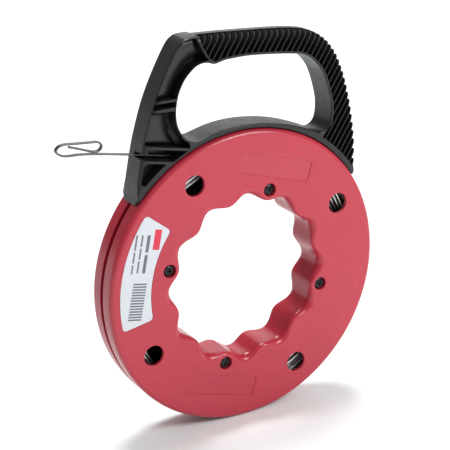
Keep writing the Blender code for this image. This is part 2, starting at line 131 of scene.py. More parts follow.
# Rows of grey bars: height from and to, then where each bar starts and ends
BAR_ROWS = [
    (2.9, 5.6, ((-31.0, -17.5), (-15.5, -1.0))),
    (-1.9, -0.5, ((-31.0, -22.0), (-20.6, -12.0), (-10.6, -1.0))),
    (-6.7, -5.3, ((-31.0, -19.0), (-17.6, -9.0), (-7.6, -0.5))),
]
STRIPE_COUNT = 14
STRIPE_START = 7.0
STRIPE_PITCH = 2.2
STRIPE_WIDTH = 1.25
STRIPE_SPAN = (-3.0, 8.6)

# Tape
TAPE_WIDTH = 3.2
TAPE_THICKNESS = 1.5
TAPE_EDGE_ROUND = 0.28
TAPE_LINE_OFFSET = 93.2
TAPE_RISE_ANGLE = 10.75
STRAIGHT_PLACES = (10.0, 40.0, 70.0, 92.0)
HOOK_WIDTH = TAPE_WIDTH - 0.1
HOOK_SPACING = 0.8
HOOK_TAIL_LENGTH = 34.0
HOOK_TAIL_SINK = 0.35
HOOK_TAIL_STEPS = 14
TAPE_TURNS = 24
TAPE_START_ANGLE = 254.0
TAPE_STEPS = 72
TAPE_KNOTS = 8
TAPE_SEED = 11
RADIUS_SCATTER = 0.5
DEPTH_SCATTER = 0.9
PACKED_RADIUS = 106.2
PACKED_PITCH = 1.7
PACKED_IN_LAYER = 4
PACKED_DEPTH = 9.6
LAYER_PITCH = 3.7
LOOSE_RADIUS = 104.0
LOOSE_DEPTH = -2.6
LOOSE_PITCH = 1.5
# Radius of each loose turn at the lower right, upper right, upper left and lower left windows
LOOSE_TURNS = [
    (105.5, 90.8, 107.0, 105.5),
    (101.4, 93.4, 106.5, 98.6),
    (106.5, 96.2, 94.2, 101.2),
    (97.4, 98.8, 99.0, 106.5),
    (92.8, 101.8, 105.5, 103.4),
]

# Handle's body
HANDLE_HALF = 12.3
SEAT_ARC_RADIUS = 120.6
FOOT_FIRST_ANGLE = 33.8
FOOT_LAST_ANGLE = 141.6
FOOT_BAND_RADIUS = 125.0
CORE_HALF = 3.2
GRIP_ROUND = 4.8
LEG_ROUND = 3.8
OPENING_ROUND = 1.2
THIN_WALL_ROUND = 0.4
SEAT_ROUND = 0.5
GRIP_FADE = (-60.0, -48.0)
OPENING_FADE = (-37.0, -28.0)
FOOT_FADE = (80.0, 92.0)
TIP_FADE = (-0.5, 8.0)
FOOT_TIP_OVERLAP = 0.6
FOOT_TIP_LENGTH = 10.0
FOOT_TIP_SIDE = 9.0
FOOT_CUT_RADII = (SEAT_ARC_RADIUS - 2.0, SEAT_ARC_RADIUS + 16.0)
# Runner in the rim's groove, as (radius, y)
RUNNER_SECTION = [
    (SEAT_ARC_RADIUS + 0.8, -1.6), (SEAT_ARC_RADIUS + 0.8, 1.6), (116.2, 1.6), (116.2, 5.0),
    (113.6, 5.0), (113.6, -5.0), (116.2, -5.0), (116.2, -1.6),
]
RUNNER_START = 37.0
RUNNER_TURN = 101.0
RUNNER_STEPS = 100

# Handle's pockets
WELL_LIP = 0.35
WELL_GRID = 1.4
WELL_GRID_MARGIN = 0.8
WELL_TOP = HANDLE_HALF + 1.5
LEG_WALL = 0.4
OPENING_WALL = 1.1
LEG_RIB_LOW = 145.0
LEG_RIB_HIGH = 151.6
LEG_RIB_HALF = 0.9
POCKET_FLOOR = 1.5
POCKET_RISE = 7.3
POCKET_SHARE = 0.8
POCKET_END = 4.5
POCKET_BOTTOM_LEFT = 0.2
POCKET_TOP_LEFT = 0.4
FOOT_POCKET_FLOOR = 2.0
LEDGE_OFFSET = 8.8
LEDGE_PLACES = (69.0, 103.6)
LEG_END = -52.0
OPENING_SIDE_END = -33.5
UPPER_POCKET_TOP = [
    (-55.0, 191.4), (-52.4, 193.6), (-49.0, 194.9), (-45.0, 195.5), (-42.2, 195.4),
    (-40.8, 192.2), (-38.9, 188.0), (-36.4, 183.8), (-33.8, 180.0), (-32.0, 178.2),
]
UPPER_POCKET_END = np.array(
    [(-52.0, 194.0), (-45.0, 195.5), (-42.2, 195.4), (-38.9, 188.0), (-33.8, 180.0)])
UPPER_POCKET_HIGH = (189.0, 176.6)
LOWER_POCKET_LOW = 123.5
LOWER_POCKET_CORNER = [(-54.2, 120.6), (-49.6, 117.6), (-48.9, 115.2)]
FOOT_POCKET_TOP = ((103.8, -4.0), (87.8, -4.0))
FOOT_POCKET_ARC = (124.2, 134.0)
FOOT_POCKET_SIDE = (91.0, 104.0)
FOOT_POCKET_WALL = 2.2

# The tape's way through the handle, as (along, above) corners and the y it spans
CHANNEL = ((104.4, -1.9), (81.6, -1.9), (70.8, 6.8), (104.4, 6.8))
MOUTH = ((118.0, -1.7), (100.0, -1.7), (100.0, 2.6), (118.0, 2.6))
SLIT = ((118.0, -1.5), (58.0, -1.5), (58.0, 2.4), (118.0, 2.4))
CHANNEL_SPAN = (-HANDLE_HALF - 2.0, 2.3)
SLIT_SPAN = (-2.2, 2.2)

# Handle's ribs and the slotted area round them
GRIP_MARGIN = 1.9
GRIP_CENTRE = (20.0, 140.0)
GRIP_STRIP_LEFT = -27.0
GRIP_STRIP_RIGHT = 70.0
GRIP_STRIP_LOW = 111.5
GRIP_CROWN_LEFT = -40.0
GRIP_CROWN_LOW = 74.0
GRIP_CROWN_GROWTH = (1.006, 1.008)
GRIP_FOOT_ARC = (36.2, 55.6)
GRIP_FOOT_CORNER = [(73.6, 107.0), (77.0, 110.8)]
GRIP_LEFT_EDGE = [
    (-29.5, 177.9), (-32.2, 180.2), (-35.0, 184.4), (-37.4, 188.6), (-39.4, 193.4), (-40.6, 198.6),
]
RIB_ANGLE = 57.6
RIB_PITCH = 5.4
RIB_THICKNESS = 1.15
RIB_START = (3.8, 187.0)
RIB_NUMBERS = range(-9, 33)
RIB_SEARCH = np.arange(-190.0, 60.0, 0.25)
RIB_SPACING = 0.8
RIB_SHORTEST = 8
RIB_CROWN_DEPTH = 1.5
RIB_INSET = 0.4
RIB_OVERLAP = 1.2
RIB_DROP = 0.04
RIB_REAR_START = 0.5
RIB_REAR_SLOPE = 2.0

# Outlines of the handle and the hand opening, and the hook's route, as (u, w)
HANDLE_OUTSIDE = [
    (102.6, 69.5), (103.4, 79.0), (102.9, 97.0), (99.7, 118.5), (95.3, 137.5),
    (89.7, 155.0), (81.9, 170.8), (72.2, 182.0), (60.5, 188.6), (44.5, 192.0),
    (17.0, 194.2), (-26.0, 196.2), (-46.5, 196.4), (-53.2, 194.3), (-58.6, 188.2),
    (-69.3, 168.8), (-78.1, 149.1), (-85.0, 127.1), (-88.6, 112.2), (-92.2, 93.1),
    (-93.6, 80.0),
]
HAND_OPENING = [
    (-33.4, 176.1), (-26.9, 174.4), (-20.3, 175.9), (-12.6, 176.7), (4.0, 177.0),
    (27.0, 175.3), (44.0, 173.3), (51.0, 171.9), (58.0, 168.3), (65.0, 161.7),
    (70.3, 154.0), (75.3, 140.5), (78.3, 127.5), (77.8, 115.5), (74.5, 109.6),
    (68.5, 107.4), (60.5, 110.6), (42.2, 117.2), (24.0, 121.6), (4.0, 123.8),
    (-13.0, 123.4), (-26.0, 121.3), (-40.0, 117.4), (-47.5, 118.0), (-53.2, 121.8),
    (-57.4, 128.0), (-59.6, 134.0), (-60.3, 142.0), (-59.5, 149.6), (-57.7, 156.4),
    (-54.6, 163.0), (-50.6, 168.4), (-44.2, 174.0), (-38.6, 176.2),
]
HOOK_ROUTE = [
    (-110.0, 115.5), (-119.1, 117.0), (-127.0, 118.2), (-135.0, 119.1), (-142.0, 119.3),
    (-147.4, 120.2), (-151.2, 122.4), (-152.3, 124.9), (-150.0, 127.4), (-145.3, 128.4),
    (-136.0, 127.6), (-126.5, 126.9), (-120.0, 126.4), (-117.3, 125.0), (-116.2, 122.8),
]
HOOK_TAIL = [
    (-117.6, 120.3), (-121.0, 119.3), (-125.5, 120.3), (-132.5, 122.8), (-137.7, 124.6),
    (-142.2, 126.0),
]

# Where the red plastic turns from glossy to pebbled, as depths below the flat faces, and the depth
# below which the rim and the bore are fully darkened as painted shade
FACE_DEPTH = 0.1
PEBBLE_DEPTH = 0.35
SHADE_DEPTH = 4.0
POLISHED_ROUGHNESS = 0.24
PEBBLED_ROUGHNESS = 0.46
POLISHED_BUMP = 0.03
PEBBLED_BUMP = 0.9

# Colours, darker and lighter
PEBBLED_RED = ((0.440, 0.030, 0.052), (0.510, 0.038, 0.064))
# Darker red of the rim and the bore: painted shade
RIM_AND_BORE_SHADE_RED = ((0.315, 0.009, 0.024), (0.370, 0.013, 0.030))
# Near-black red of the case's inner walls: painted shade
INSIDE_SHADE_RED = ((0.010, 0.003, 0.004), (0.030, 0.006, 0.009))
NEAR_BLACK = ((0.0085, 0.0075, 0.0085), (0.013, 0.0115, 0.013))
OXIDE_BLACK = ((0.016, 0.016, 0.018), (0.06, 0.06, 0.065))
BRIGHT_STEEL = ((0.50, 0.49, 0.48), (0.80, 0.79, 0.78))
DARK_STEEL = ((0.075, 0.070, 0.068), (0.19, 0.18, 0.175))
PALE_FILM = ((0.60, 0.62, 0.66), (0.66, 0.68, 0.72))
PRINTED_RED = ((0.62, 0.02, 0.05), (0.68, 0.03, 0.07))
PRINTED_GREY = ((0.10, 0.10, 0.12), (0.16, 0.16, 0.19))
PALE_FLOOR = ((0.875, 0.92, 0.92), (0.895, 0.94, 0.94))

# Stage, in metres and watts
FLOOR_SIZE = 14.0
WORLD_STRENGTH = 0.34
SUN_STRENGTH = 2.7
SUN_ANGLE = 24.0
SUN_DIRECTION = (-0.08, -0.26, -1.0)
# Soft boxes: name, place, the point they face, size and power
SOFT_BOXES = [
    ("front_box", (0.50, -0.80, 0.85), (0.0, 0.0, 0.18), 0.5, 8.6),
    ("back_box", (0.75, 1.35, 1.0), (0.0, 0.0, 0.2), 1.2, 5.0),
]
CAMERA_PLACE = (-0.5389, -0.9107, 0.5575)
CAMERA_TILT = 69.525
CAMERA_TURN = -30.847
CAMERA_LENS = 116.26


# ---- plane geometry

def polar(radius, angle):
    """Point on a circle about the reel's centre."""
    return radius * math.cos(math.radians(angle)), radius * math.sin(math.radians(angle))


def around(radius, angle, y):
    """The same point with its place through the thickness, as (u, y, w)."""
    u, w = polar(radius, angle)
    return u, y, w


def arc(radius, first, last, steps):
    """Points along an arc about the reel's centre."""
    return [polar(radius, first + (last - first) * i / steps) for i in range(steps + 1)]


def quarter_round(steps):
    """(across, down) pairs along a quarter round of radius 1, from its side to its top."""
    turns = [math.radians(90.0 * k / steps) for k in range(steps + 1)]
    return [(1.0 - math.cos(turn), 1.0 - math.sin(turn)) for turn in turns]


def smooth_line(points, steps, closed):
    """Curve through the points, by Catmull-Rom."""
    if closed:
        padded = points[-1:] + points + points[:2]
    else:
        padded = points[:1] + points + points[-1:]
    line = []
    for four in zip(padded, padded[1:], padded[2:], padded[3:]):
        for step in range(steps):
            t = step / steps
            line.append(tuple(
                0.5 * (2 * b + (c - a) * t + (2 * a - 5 * b + 4 * c - d) * t ** 2
                       + (3 * b - a - 3 * c + d) * t ** 3)
                for a, b, c, d in zip(*four)))
    return line if closed else line + points[-1:]


def tape_point(along, above):
    """Point beside the tape's straight line: along it towards the hook, and above it."""
    rise = math.radians(TAPE_RISE_ANGLE)
    offset = TAPE_LINE_OFFSET + above
    return (offset * math.sin(rise) - along * math.cos(rise),
            offset * math.cos(rise) + along * math.sin(rise))


def resample(line, spacing, closed):
    """The same line with points an even distance apart."""
    points = np.array(line, dtype=float)
    if closed:
        points = np.vstack([points, points[:1]])
    lengths = np.hypot(*np.diff(points, axis=0).T)
    along = np.concatenate([[0.0], np.cumsum(lengths)])
    count = max(int(round(along[-1] / spacing)), 3)
    places = np.linspace(0.0, along[-1], count + 1)
    if closed:
        places = places[:-1]
    return np.column_stack([np.interp(places, along, points[:, k]) for k in (0, 1)])


def anticlockwise(loop):
    """The loop, turned anticlockwise."""
    loop = np.array(loop, dtype=float)
    u, w = loop[:, 0], loop[:, 1]
    return loop if np.sum(u * np.roll(w, -1) - np.roll(u, -1) * w) > 0 else loop[::-1]


def inset(loop, amount):
    """Closed loop moved to its left by an amount, which may differ from point to point."""
    along = np.roll(loop, -1, axis=0) - np.roll(loop, 1, axis=0)
    length = np.maximum(np.hypot(along[:, 0], along[:, 1]), 1e-9)
    left = np.column_stack([-along[:, 1], along[:, 0]]) / length[:, None]
    return loop + left * np.broadcast_to(amount, len(loop))[:, None]


def rectangle(centre, along, half_length, half_width):
    """Corners of a rectangle about a centre, its length along a direction."""
    across = np.array([-along[1], along[0]])
    return [centre + along * a * half_length + across * b * half_width
            for a, b in ((-1, -1), (1, -1), (1, 1), (-1, 1))]


def inside(points, loops):
    """Which points lie inside the loops, by the even-odd rule."""
    hits = np.zeros(len(points), dtype=int)
    for loop in loops:
        after = np.roll(loop, -1, axis=0)
        for (u0, w0), (u1, w1) in zip(loop, after):
            crosses = (w0 > points[:, 1]) != (w1 > points[:, 1])
            reach = u0 + (points[:, 1] - w0) * (u1 - u0) / (w1 - w0 if w1 != w0 else 1.0)
            hits += crosses & (points[:, 0] < reach)
    return hits % 2 == 1


def distance(points, line, closed=True):
    """Distance from each point to a line."""
    start = line if closed else line[:-1]
    end = np.roll(line, -1, axis=0) if closed else line[1:]
    best = np.full(len(points), 1e9)
    for a, b in zip(start, end):
        edge = b - a
        size = max(edge @ edge, 1e-12)
        t = np.clip((points - a) @ edge / size, 0.0, 1.0)
        away = points - (a + t[:, None] * edge)
        best = np.minimum(best, np.hypot(away[:, 0], away[:, 1]))
    return best


def triangulate(loops, inner=(), area=None):
    """Triangles on the points of the loops and the inner ones, inside the loops or an area."""
    points = [tuple(p) for loop in loops for p in loop]
    edges = []
    start = 0
    for loop in loops:
        count = len(loop)
        edges += [(start + i, start + (i + 1) % count) for i in range(count)]
        start += count
    points += [tuple(p) for p in inner]
    found, _, faces, origin, _, _ = geometry.delaunay_2d_cdt(
        [Vector(p) for p in points], edges, [], 0, 1e-6)
    flat = np.array([tuple(p) for p in found])
    middles = np.array([flat[list(face)].mean(axis=0) for face in faces])
    keep = inside(middles, loops if area is None else area)
    return [[origin[v][0] for v in face] for face, kept in zip(faces, keep) if kept]


# ---- meshes

def make_mesh(name, points, faces):
    """Closed mesh from (u, y, w) points, its faces pointing out."""
    mesh = bpy.data.meshes.new(name)
    mesh.from_pydata([tuple(p) for p in points], [], [tuple(f) for f in faces])
    work = bmesh.new()
    work.from_mesh(mesh)
    bmesh.ops.remove_doubles(work, verts=work.verts, dist=1e-5)
    bmesh.ops.recalc_face_normals(work, faces=work.faces)
    work.to_mesh(mesh)
    work.free()
    return mesh


def join(name, meshes):
    """Several separate bodies in one mesh."""
    work = bmesh.new()
    for mesh in meshes:
        work.from_mesh(mesh)
    joined = bpy.data.meshes.new(name)
    work.to_mesh(joined)
    work.free()
    return joined


def add_object(name, data):
    """Object in the scene that holds some data."""
    added = bpy.data.objects.new(name, data)
    bpy.context.scene.collection.objects.link(added)
    return added


def boolean(mesh, tool, operation):
    """Exact Boolean of two meshes."""
    objects = [add_object("holder", data) for data in (mesh, tool)]
    modifier = objects[0].modifiers.new("boolean", "BOOLEAN")
    modifier.operation = operation
    modifier.solver = "EXACT"
    modifier.object = objects[1]
    graph = bpy.context.evaluated_depsgraph_get()
    result = bpy.data.meshes.new_from_object(objects[0].evaluated_get(graph))
    for holder in objects:
        bpy.data.objects.remove(holder, do_unlink=True)
    return result


def bridge(first, second, count):
    """Quads between two rings of points given by their first index."""
    return [(first + i, first + (i + 1) % count, second + (i + 1) % count, second + i)
            for i in range(count)]


def loft(name, rings, caps=None):
    """Solid through rings of points, closed by one face at each end or by the caps' faces."""
    size = len(rings[0])
    last = (len(rings) - 1) * size
    if caps is None:
        caps = [range(size)]
    faces = []
    for start in range(0, last, size):
        faces += bridge(start, start + size, size)
    faces += [list(cap) for cap in caps]
    faces += [[last + v for v in cap] for cap in caps]
    return make_mesh(name, [point for ring in rings for point in ring], faces)


def plate(name, loops, rounds, steps):
    """The handle's thickness between loops, its edges rounded by the rounds at each point."""
    levels = [(-1, across, down) for across, down in quarter_round(steps)[::-1]]
    levels += [(1, across, down) for across, down in quarter_round(steps)]
    points = []
    faces = []
    starts = []
    for loop, radius in zip(loops, rounds):
        starts.append(len(points))
        for side, across, down in levels:
            ring = inset(loop, radius * across)
            height = side * (HANDLE_HALF - radius * down)
            points += list(np.column_stack([ring[:, 0], height, ring[:, 1]]))
        for level in range(len(levels) - 1):
            first = starts[-1] + level * len(loop)
            faces += bridge(first, first + len(loop), len(loop))
    cap = triangulate([inset(loop, radius) for loop, radius in zip(loops, rounds)])
    for level in (0, len(levels) - 1):
        index = []
        for start, loop in zip(starts, loops):
            first = start + level * len(loop)
            index += list(range(first, first + len(loop)))
        faces += [[index[v] for v in face] for face in cap]
    return make_mesh(name, points, faces)


def well(outline, floor, spacing, side):
    """Cutter for a recess whose floor follows a height, with a rounded lip at the side face."""
    loop = anticlockwise(resample(outline, spacing, True))
    low, high = loop.min(axis=0), loop.max(axis=0)
    grid = np.array([(u, w) for u in np.arange(low[0], high[0], spacing * WELL_GRID)
                     for w in np.arange(low[1], high[1], spacing * WELL_GRID)])
    grid = grid[inside(grid, [loop])]
    grid = grid[distance(grid, loop) > spacing * WELL_GRID_MARGIN]
    count = len(loop)
    flat = np.vstack([loop, grid])
    triangles = triangulate([loop], grid)
    heights = floor(flat)
    points = list(np.column_stack([flat[:, 0], side * heights, flat[:, 1]]))
    faces = list(triangles)
    before = 0
    lip = [(across, HANDLE_HALF - WELL_LIP * down) for across, down in quarter_round(3)]
    for across, height in lip + [(1.0, WELL_TOP)]:
        ring = inset(loop, -WELL_LIP * across)
        start = len(points)
        level = np.maximum(np.full(count, height), heights[:count] + 0.02)
        points += list(np.column_stack([ring[:, 0], side * level, ring[:, 1]]))
        faces += bridge(before, start, count)
        before = start
    top = len(points)
    points += [(u, side * WELL_TOP, w) for u, w in grid]
    for triangle in triangles:
        faces.append([before + v if v < count else top + v - count for v in triangle])
    return make_mesh("well", points, faces)


def fin(path, fronts, rears, thickness):
    """Wall along a path in the u, w plane with round noses at y = -front and rear."""
    along = np.gradient(path, axis=0)
    along /= np.hypot(along[:, 0], along[:, 1])[:, None]
    left = np.column_stack([-along[:, 1], along[:, 0]])
    radius = thickness / 2.0
    turns = [math.radians(a) for a in (0, 30, 60, 90, 120, 150, 180)]
    ring = [(math.cos(t), -1, math.sin(t)) for t in turns]
    ring += [(-math.cos(t), 1, math.sin(t)) for t in turns]
    rings = []
    for place, across, front, rear in zip(path, left, fronts, rears):
        points = []
        for side_step, side, rise in ring:
            height = front if side < 0 else rear
            spot = place + across * radius * side_step
            points.append((spot[0], side * (height - radius + radius * rise), spot[1]))
        rings.append(points)
    return loft("fin", rings)


def turned(profile, centre, steps):
    """Solid turned about an axis along Y through a centre, from (radius, y) points."""
    angles = [2.0 * math.pi * i / steps for i in range(steps)]
    return loft("turned", [
        [(centre[0] + radius * math.cos(angle), y, centre[1] + radius * math.sin(angle))
         for angle in angles]
        for radius, y in profile])


def finish_piece(name, mesh, materials, body, node, sharp=32.0):
    """Scale a mesh to metres, shade it and put it in the place of a node of the frame."""
    mesh.transform(Matrix.Translation(AXIS) @ Matrix.Scale(MM, 4))
    indices = [polygon.material_index for polygon in mesh.polygons]
    mesh.materials.clear()
    for material in materials:
        mesh.materials.append(material)
    mesh.polygons.foreach_set("material_index", indices)
    mesh.shade_smooth()
    mesh.set_sharp_from_angle(angle=math.radians(sharp))
    piece = add_object(name, mesh)
    weighted = piece.modifiers.new("weighted_normals", "WEIGHTED_NORMAL")
    weighted.keep_sharp = True
    weighted.weight = 60
    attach(piece, body)
    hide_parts(node)


# ---- materials

def new_material(name, roughness, metallic=0.0, specular=0.5):
    """Principled material with its constants on the sockets."""
    material = bpy.data.materials.new(name)
    material.use_nodes = True
    shader = material.node_tree.nodes["Principled BSDF"]
    shader.inputs["Roughness"].default_value = roughness
    shader.inputs["Metallic"].default_value = metallic
    shader.inputs["Specular IOR Level"].default_value = specular
    return material, material.node_tree, shader


def noise(tree, scale, detail=2.0, stretch=None):
    """Noise over the piece's own coordinates, in features per metre."""
    place = tree.nodes.new("ShaderNodeTexCoord")
    source = tree.nodes.new("ShaderNodeTexNoise")
    source.inputs["Scale"].default_value = scale
    source.inputs["Detail"].default_value = detail
    vector = place.outputs["Object"]
    if stretch is not None:
        mapping = tree.nodes.new("ShaderNodeMapping")
        mapping.inputs["Scale"].default_value = stretch
        tree.links.new(vector, mapping.inputs["Vector"])
        vector = mapping.outputs["Vector"]
    tree.links.new(vector, source.inputs["Vector"])
    return source.outputs["Fac"]


def spread(tree, value, low, high, from_low=0.3, from_high=0.7):
    """Map a value from one range to another, clamped."""
    node = tree.nodes.new("ShaderNodeMapRange")
    node.inputs["From Min"].default_value = from_low
    node.inputs["From Max"].default_value = from_high
    node.inputs["To Min"].default_value = low
    node.inputs["To Max"].default_value = high
    tree.links.new(value, node.inputs["Value"])
    return node.outputs["Result"]


def blend_colours(tree, factor, first, second):
    """Mix of two colours by a factor."""
    node = tree.nodes.new("ShaderNodeValToRGB")
    node.color_ramp.elements[0].color = (*first, 1.0)
    node.color_ramp.elements[1].color = (*second, 1.0)
    tree.links.new(factor, node.inputs["Fac"])
    return node.outputs["Color"]


def paint(tree, shader, factor, colours):
    """Colour a shader between two colours by a factor."""
    tree.links.new(blend_colours(tree, factor, *colours), shader.inputs["Base Color"])


def mix_colours(tree, factor, first, second):
    """Mix of two linked colours by a factor."""
    node = tree.nodes.new("ShaderNodeMix")
    node.data_type = "RGBA"
    tree.links.new(factor, node.inputs["Factor"])
    ends = [socket for socket in node.inputs if socket.type == "RGBA"]
    tree.links.new(first, ends[0])
    tree.links.new(second, ends[1])
    return next(socket for socket in node.outputs if socket.type == "RGBA")


def bump(tree, shader, height, strength, reach):
    """Bump a shader's surface by a height."""
    node = tree.nodes.new("ShaderNodeBump")
    node.inputs["Distance"].default_value = reach
    if isinstance(strength, float):
        node.inputs["Strength"].default_value = strength
    else:
        tree.links.new(strength, node.inputs["Strength"])
    tree.links.new(height, node.inputs["Height"])
    tree.links.new(node.outputs["Normal"], shader.inputs["Normal"])


def face_mask(tree, depth):
    """1 on the case's flat faces, falling to 0 at a depth below them."""
    place = tree.nodes.new("ShaderNodeTexCoord")
    split = tree.nodes.new("ShaderNodeSeparateXYZ")
    tree.links.new(place.outputs["Object"], split.inputs["Vector"])
    size = tree.nodes.new("ShaderNodeMath")
    size.operation = "ABSOLUTE"
    tree.links.new(split.outputs["Y"], size.inputs[0])
    return spread(tree, size.outputs["Value"], 0.0, 1.0,
                  (HALF_THICKNESS - depth) * MM, (HALF_THICKNESS - FACE_DEPTH) * MM)


def red_plastic():
    """Crimson moulding: pebbled on its flat faces, smooth and glossy at the rim and the bore, whose
    darker red is painted shade.
    """
    material, tree, shader = new_material("red_moulding", 0.3, specular=0.45)
    mottle = noise(tree, 30.0, 3.0)
    pebbled = blend_colours(tree, mottle, *PEBBLED_RED)
    # Painted shade: the rim and the bore blend into a darker red, fully so a few millimetres below
    # the flat faces
    rim_and_bore_shade = blend_colours(tree, mottle, *RIM_AND_BORE_SHADE_RED)
    mask = face_mask(tree, PEBBLE_DEPTH)
    shade_mask = face_mask(tree, SHADE_DEPTH)
    roughness = spread(tree, mask, POLISHED_ROUGHNESS, PEBBLED_ROUGHNESS, 0.0, 1.0)
    pebbling = spread(tree, mask, POLISHED_BUMP, PEBBLED_BUMP, 0.0, 1.0)
    tree.links.new(mix_colours(tree, shade_mask, rim_and_bore_shade, pebbled), shader.inputs["Base Color"])
    tree.links.new(roughness, shader.inputs["Roughness"])
    bump(tree, shader, noise(tree, 650.0, 2.0), pebbling, 0.0006)
    return material


def inside_shade_material():
    """The case's inner walls, painted near black as painted shade inside the closed case."""
    material, tree, shader = new_material("inside_painted_shade", 0.5)
    paint(tree, shader, noise(tree, 60.0, 4.0), INSIDE_SHADE_RED)
    return material


def black_plastic():
    """Near-black moulding with a fine grain."""
    material, tree, shader = new_material("black_moulding", 0.36, specular=0.4)
    paint(tree, shader, noise(tree, 45.0, 3.0), NEAR_BLACK)
    tree.links.new(spread(tree, noise(tree, 160.0, 3.0), 0.32, 0.44), shader.inputs["Roughness"])
    bump(tree, shader, noise(tree, 2200.0, 2.0), 0.12, 0.0003)
    return material


def steel(name, colours, roughness, grain):
    """Steel with fine drawn streaks."""
    material, tree, shader = new_material(name, roughness, metallic=1.0)
    streaks = noise(tree, 260.0, 3.0, (0.15, 3.0, 1.0))
    paint(tree, shader, streaks, colours)
    tree.links.new(spread(tree, noise(tree, 700.0, 2.0), roughness - 0.07, roughness + 0.08),
                   shader.inputs["Roughness"])
    bump(tree, shader, streaks, grain, 0.0001)
    return material


def print_colour(name, colours):
    """Printed film or ink, with a slight mottle."""
    material, tree, shader = new_material(name, 0.42)
    paint(tree, shader, noise(tree, 300.0, 3.0), colours)
    bump(tree, shader, noise(tree, 900.0, 2.0), 0.05, 0.0001)
    return material


RED = red_plastic()
INSIDE = inside_shade_material()
BLACK = black_plastic()
SCREW_STEEL = steel("black_oxide_steel", OXIDE_BLACK, 0.34, 0.05)
TAPE_STEEL = steel("spring_steel", BRIGHT_STEEL, 0.38, 0.15)
HOOK_STEEL = steel("heat_darkened_steel", DARK_STEEL, 0.36, 0.15)
FILM = print_colour("label_film", PALE_FILM)
RED_INK = print_colour("red_ink", PRINTED_RED)
GREY_INK = print_colour("grey_ink", PRINTED_GREY)


# ---- case

def bore_section(angle):
    """(radius, depth from the face) points round the bore's edge, mid-plane to face."""
    wave = math.cos(math.radians(SCALLOP_COUNT * (angle - SCREW_ANGLE)))
    radius = BORE_RADIUS - SCALLOP_DEPTH * wave
    width = BORE_ROUND_WIDTH - BORE_ROUND_WIDTH_SWING * wave
    depth = BORE_ROUND_DEPTH - BORE_ROUND_DEPTH_SWING * wave
    section = [(radius + PARTING_CHAMFER, HALF_THICKNESS - PARTING_HALF_WIDTH),
               (radius, HALF_THICKNESS - PARTING_HALF_WIDTH - PARTING_CHAMFER),
               (radius, (HALF_THICKNESS + depth) / 2.0)]
    section += [(radius + width * across, depth * down) for across, down in quarter_round(14)]
    return section


def rim_section():
    """(radius, depth from the face) points from the flat face round the rim to the inside."""
    section = [(radius, 0.0) for radius in FACE_RADII]
    section += [(REEL_RADIUS - RIM_CORNER * down, RIM_CORNER * across)
                for across, down in quarter_round(9)]
    edge = HALF_THICKNESS - GROOVE_HALF_WIDTH
    bend = 0.3 * GROOVE_LIP
    section += [(REEL_RADIUS, edge - GROOVE_LIP), (REEL_RADIUS - bend, edge - bend),
                (REEL_RADIUS - GROOVE_LIP, edge), (REEL_RADIUS - WALL, edge),
                (REEL_RADIUS - WALL, WALL + WALL_CHAMFER),
                (REEL_RADIUS - WALL - WALL_CHAMFER, WALL),
                (SOLID_RADIUS + WALL_CHAMFER, WALL), (SOLID_RADIUS, WALL + WALL_CHAMFER),
                (SOLID_RADIUS, HALF_THICKNESS - PARTING_HALF_WIDTH)]
    return section


def case_blank(side):
    """One case half before its holes are cut."""
    rim = rim_section()
    points = []
    for i in range(TURN_STEPS):
        angle = 360.0 * i / TURN_STEPS
        points += [around(radius, angle, side * (HALF_THICKNESS - depth))
                   for radius, depth in bore_section(angle) + rim]
    size = len(points) // TURN_STEPS
    faces = []
    for i in range(TURN_STEPS):
        faces += bridge(i * size, (i + 1) % TURN_STEPS * size, size)
    return make_mesh("case", points, faces)


def lipped_hole(circle, angle, radius, depth, lip, side):
    """Cutter for a round hole from the face, with a rounded edge."""
    profile = [(radius, side * (HALF_THICKNESS - depth))]
    profile += [(radius + lip * across, side * (HALF_THICKNESS - lip * down))
                for across, down in quarter_round(4)]
    profile.append((radius + lip, side * (HALF_THICKNESS + 1.0)))
    return turned(profile, polar(circle, angle), HOLE_STEPS)


def round_corners(corners, radius, steps):
    """Outline with its corners rounded."""
    corners = anticlockwise(corners)
    outline = []
    for i, corner in enumerate(corners):
        before = corners[i - 1] - corner
        after = corners[(i + 1) % len(corners)] - corner
        before /= np.hypot(*before)
        after /= np.hypot(*after)
        half_angle = math.acos(np.clip(before @ after, -1.0, 1.0)) / 2.0
        reach = radius / math.tan(half_angle)
        start, end = corner + before * reach, corner + after * reach
        for k in range(steps + 1):
            t = k / steps
            outline.append((1 - t) ** 2 * start + 2 * t * (1 - t) * corner + t ** 2 * end)
    return np.array(outline)


def panel_outline(angle):
    """Rounded rectangle of a plain panel."""
    centre = np.array(polar(PANEL_CIRCLE, angle))
    out = centre / np.hypot(*centre)
    along = np.array([out[1], -out[0]])
    corners = rectangle(centre, along, PANEL_LENGTH / 2, PANEL_HEIGHT / 2)
    return round_corners(corners, PANEL_CORNER, 4)


def label_outline(margin):
    """Label's ring sector with rounded corners, grown by a margin."""
    inner, outer = LABEL_INNER - margin, LABEL_OUTER + margin
    slack = math.degrees(margin / LABEL_MIDDLE)
    first, last = LABEL_START - slack, LABEL_END + slack
    turn_inner = math.degrees(LABEL_CORNER / inner)
    turn_outer = math.degrees(LABEL_CORNER / outer)

    def corner(radius, angle, radius_step, angle_step):
        """Quarter round at a corner of the sector."""
        bend = []
        for k in range(7):
            t = k / 6.0
            a, b = (1 - t) ** 2, t ** 2
            bend.append(polar(radius + radius_step * a, angle + angle_step * b))
        return bend

    outline = arc(outer, first + turn_outer, last - turn_outer, 30)[1:-1]
    outline += corner(outer, last, -LABEL_CORNER, -turn_outer)[::-1]
    outline += corner(inner, last, LABEL_CORNER, -turn_inner)
    outline += arc(inner, last - turn_inner, first + turn_inner, 24)[1:-1]
    outline += corner(inner, first, LABEL_CORNER, turn_inner)[::-1]
    outline += corner(outer, first, -LABEL_CORNER, turn_outer)
    return np.array(outline)


